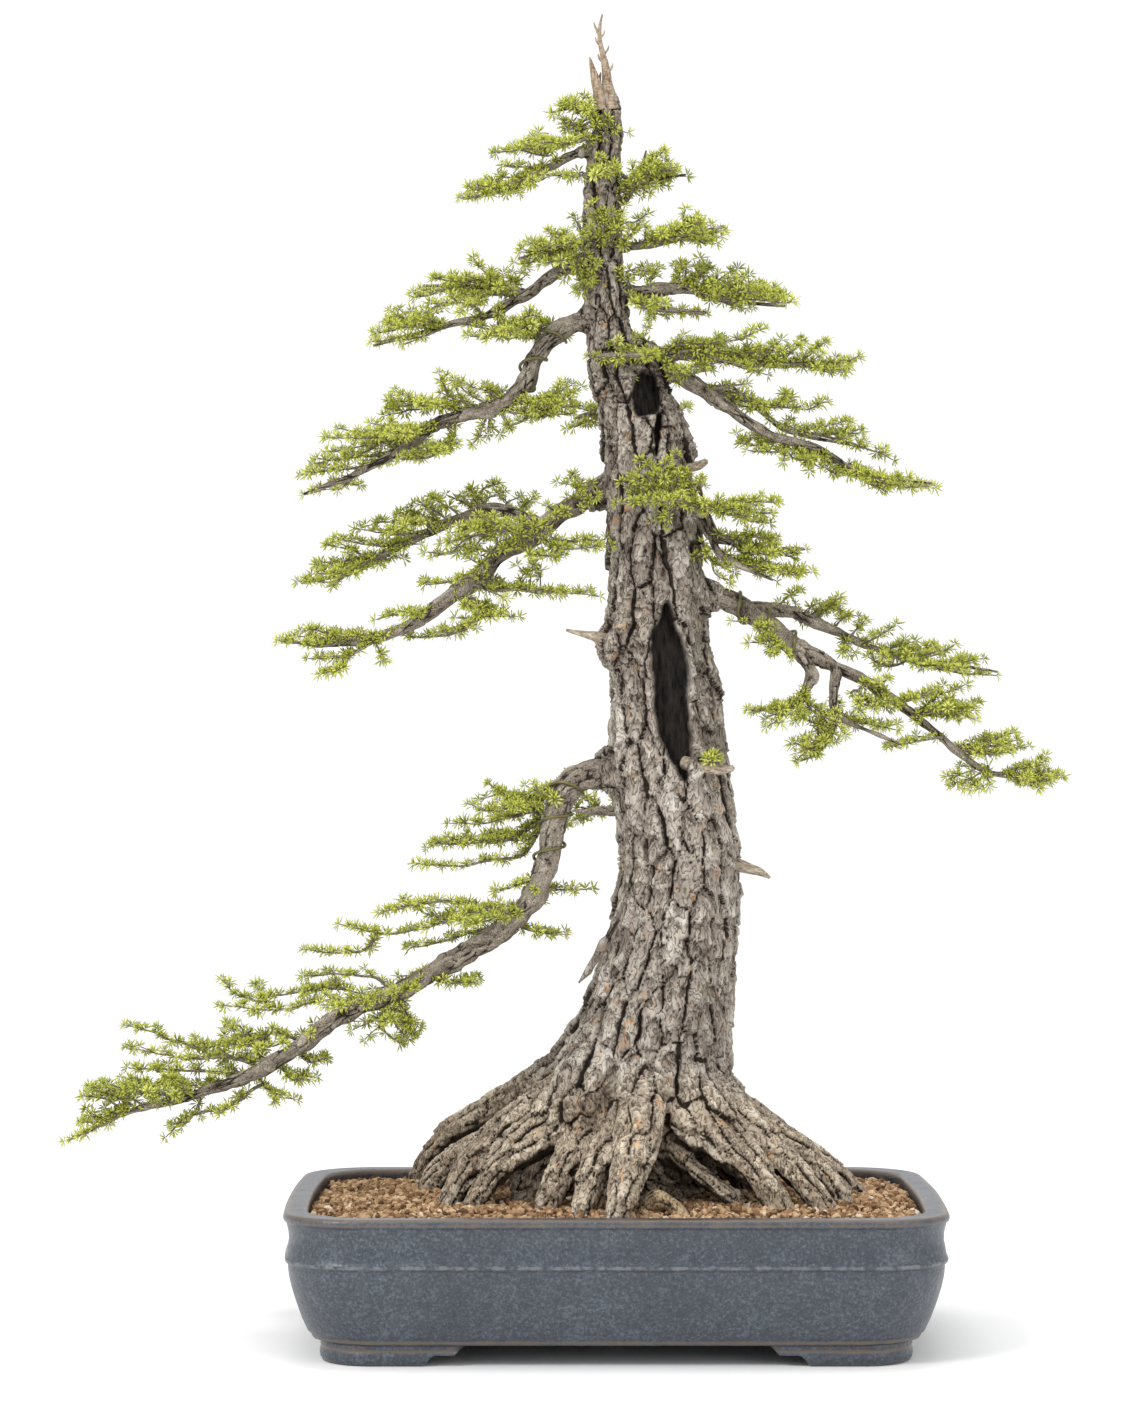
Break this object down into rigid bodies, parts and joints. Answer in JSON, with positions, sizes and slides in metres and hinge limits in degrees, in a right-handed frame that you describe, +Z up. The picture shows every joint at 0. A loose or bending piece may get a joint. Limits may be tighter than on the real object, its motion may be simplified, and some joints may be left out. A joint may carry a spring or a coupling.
{
  "type": "bonsai tree in a pot",
  "caption": "Old larch bonsai with flaking bark, surface roots, bare dead top and layered needle pads, in a shallow soft-cornered glazed pot.",
  "frame": {"origin": "on the resting surface, under the middle of the whole object's box", "axes": "+Z up along the trunk, +X to the right seen from the front, -Y towards the viewer; the pot's long side runs along X"},
  "size_m": [0.7324, 0.322, 0.9652],
  "materials": {
    "glaze": "blue-grey stoneware glaze, satin, thin and brown over the edges",
    "soil_grains": "hard-baked clay grains 3 to 6 mm across, tan and brown, matt",
    "old_bark": "thick flaking grey-brown bark plates over dark cracks",
    "root_bark": "pale smooth root bark, matt",
    "branch_bark": "thin scaly brown bark, matt",
    "deadwood": "bare weathered wood, silver-grey, fine grain",
    "larch_needles": "soft yellow-green larch needles in rosettes",
    "plastic_mesh": "black moulded drainage mesh",
    "plain_wire": "dull bare aluminium wire",
    "brown_wire": "brown anodised training wire, dulled green with age"
  },
  "bodies": {
    "root": {"branch_apex": "branch_bark", "branch_back_low": "branch_bark", "branch_back_mid": "branch_bark", "branch_left_apex": "branch_bark", "branch_left_crown": "branch_bark", "branch_left_low": "branch_bark", "branch_left_mid": "branch_bark", "branch_left_top": "branch_bark", "branch_left_upper": "branch_bark", "branch_right_apex": "branch_bark", "branch_right_crown": "branch_bark", "branch_right_crown_top": "branch_bark", "branch_right_low": "branch_bark", "branch_right_mid": "branch_bark", "branch_right_top": "branch_bark", "branch_right_upper": "branch_bark", "drain_screen_left": "plastic_mesh", "drain_screen_right": "plastic_mesh", "foliage_apex": "larch_needles", "foliage_back_low": "larch_needles", "foliage_back_mid": "larch_needles", "foliage_left_apex": "larch_needles", "foliage_left_crown_lower": "larch_needles", "foliage_left_crown_upper": "larch_needles", "foliage_left_low_elbow": "larch_needles", "foliage_left_low_middle": "larch_needles", "foliage_left_low_outer": "larch_needles", "foliage_left_low_tip": "larch_needles", "foliage_left_mid_inner": "larch_needles", "foliage_left_mid_lower": "larch_needles", "foliage_left_mid_upper": "larch_needles", "foliage_left_top": "larch_needles", "foliage_left_upper_inner": "larch_needles", "foliage_left_upper_outer": "larch_needles", "foliage_right_apex": "larch_needles", "foliage_right_crown": "larch_needles", "foliage_right_crown_top": "larch_needles", "foliage_right_low_inner": "larch_needles", "foliage_right_low_outer": "larch_needles", "foliage_right_low_tip": "larch_needles", "foliage_right_low_upper": "larch_needles", "foliage_right_mid_lower": "larch_needles", "foliage_right_mid_upper": "larch_needles", "foliage_right_top": "larch_needles", "foliage_right_upper": "larch_needles", "front_root": "root_bark", "jin_left": "deadwood", "jin_right_collar": "deadwood", "jin_right_low": "deadwood", "jin_right_upper": "deadwood", "pot": "glaze", "screen_clip_left": "plain_wire", "screen_clip_right": "plain_wire", "soil": "soil_grains", "tie_wire": "plain_wire", "training_wire_left_low": "brown_wire", "training_wire_left_upper": "brown_wire", "training_wire_right_low": "brown_wire", "trunk": "old_bark"}
  },
  "joints": []
}
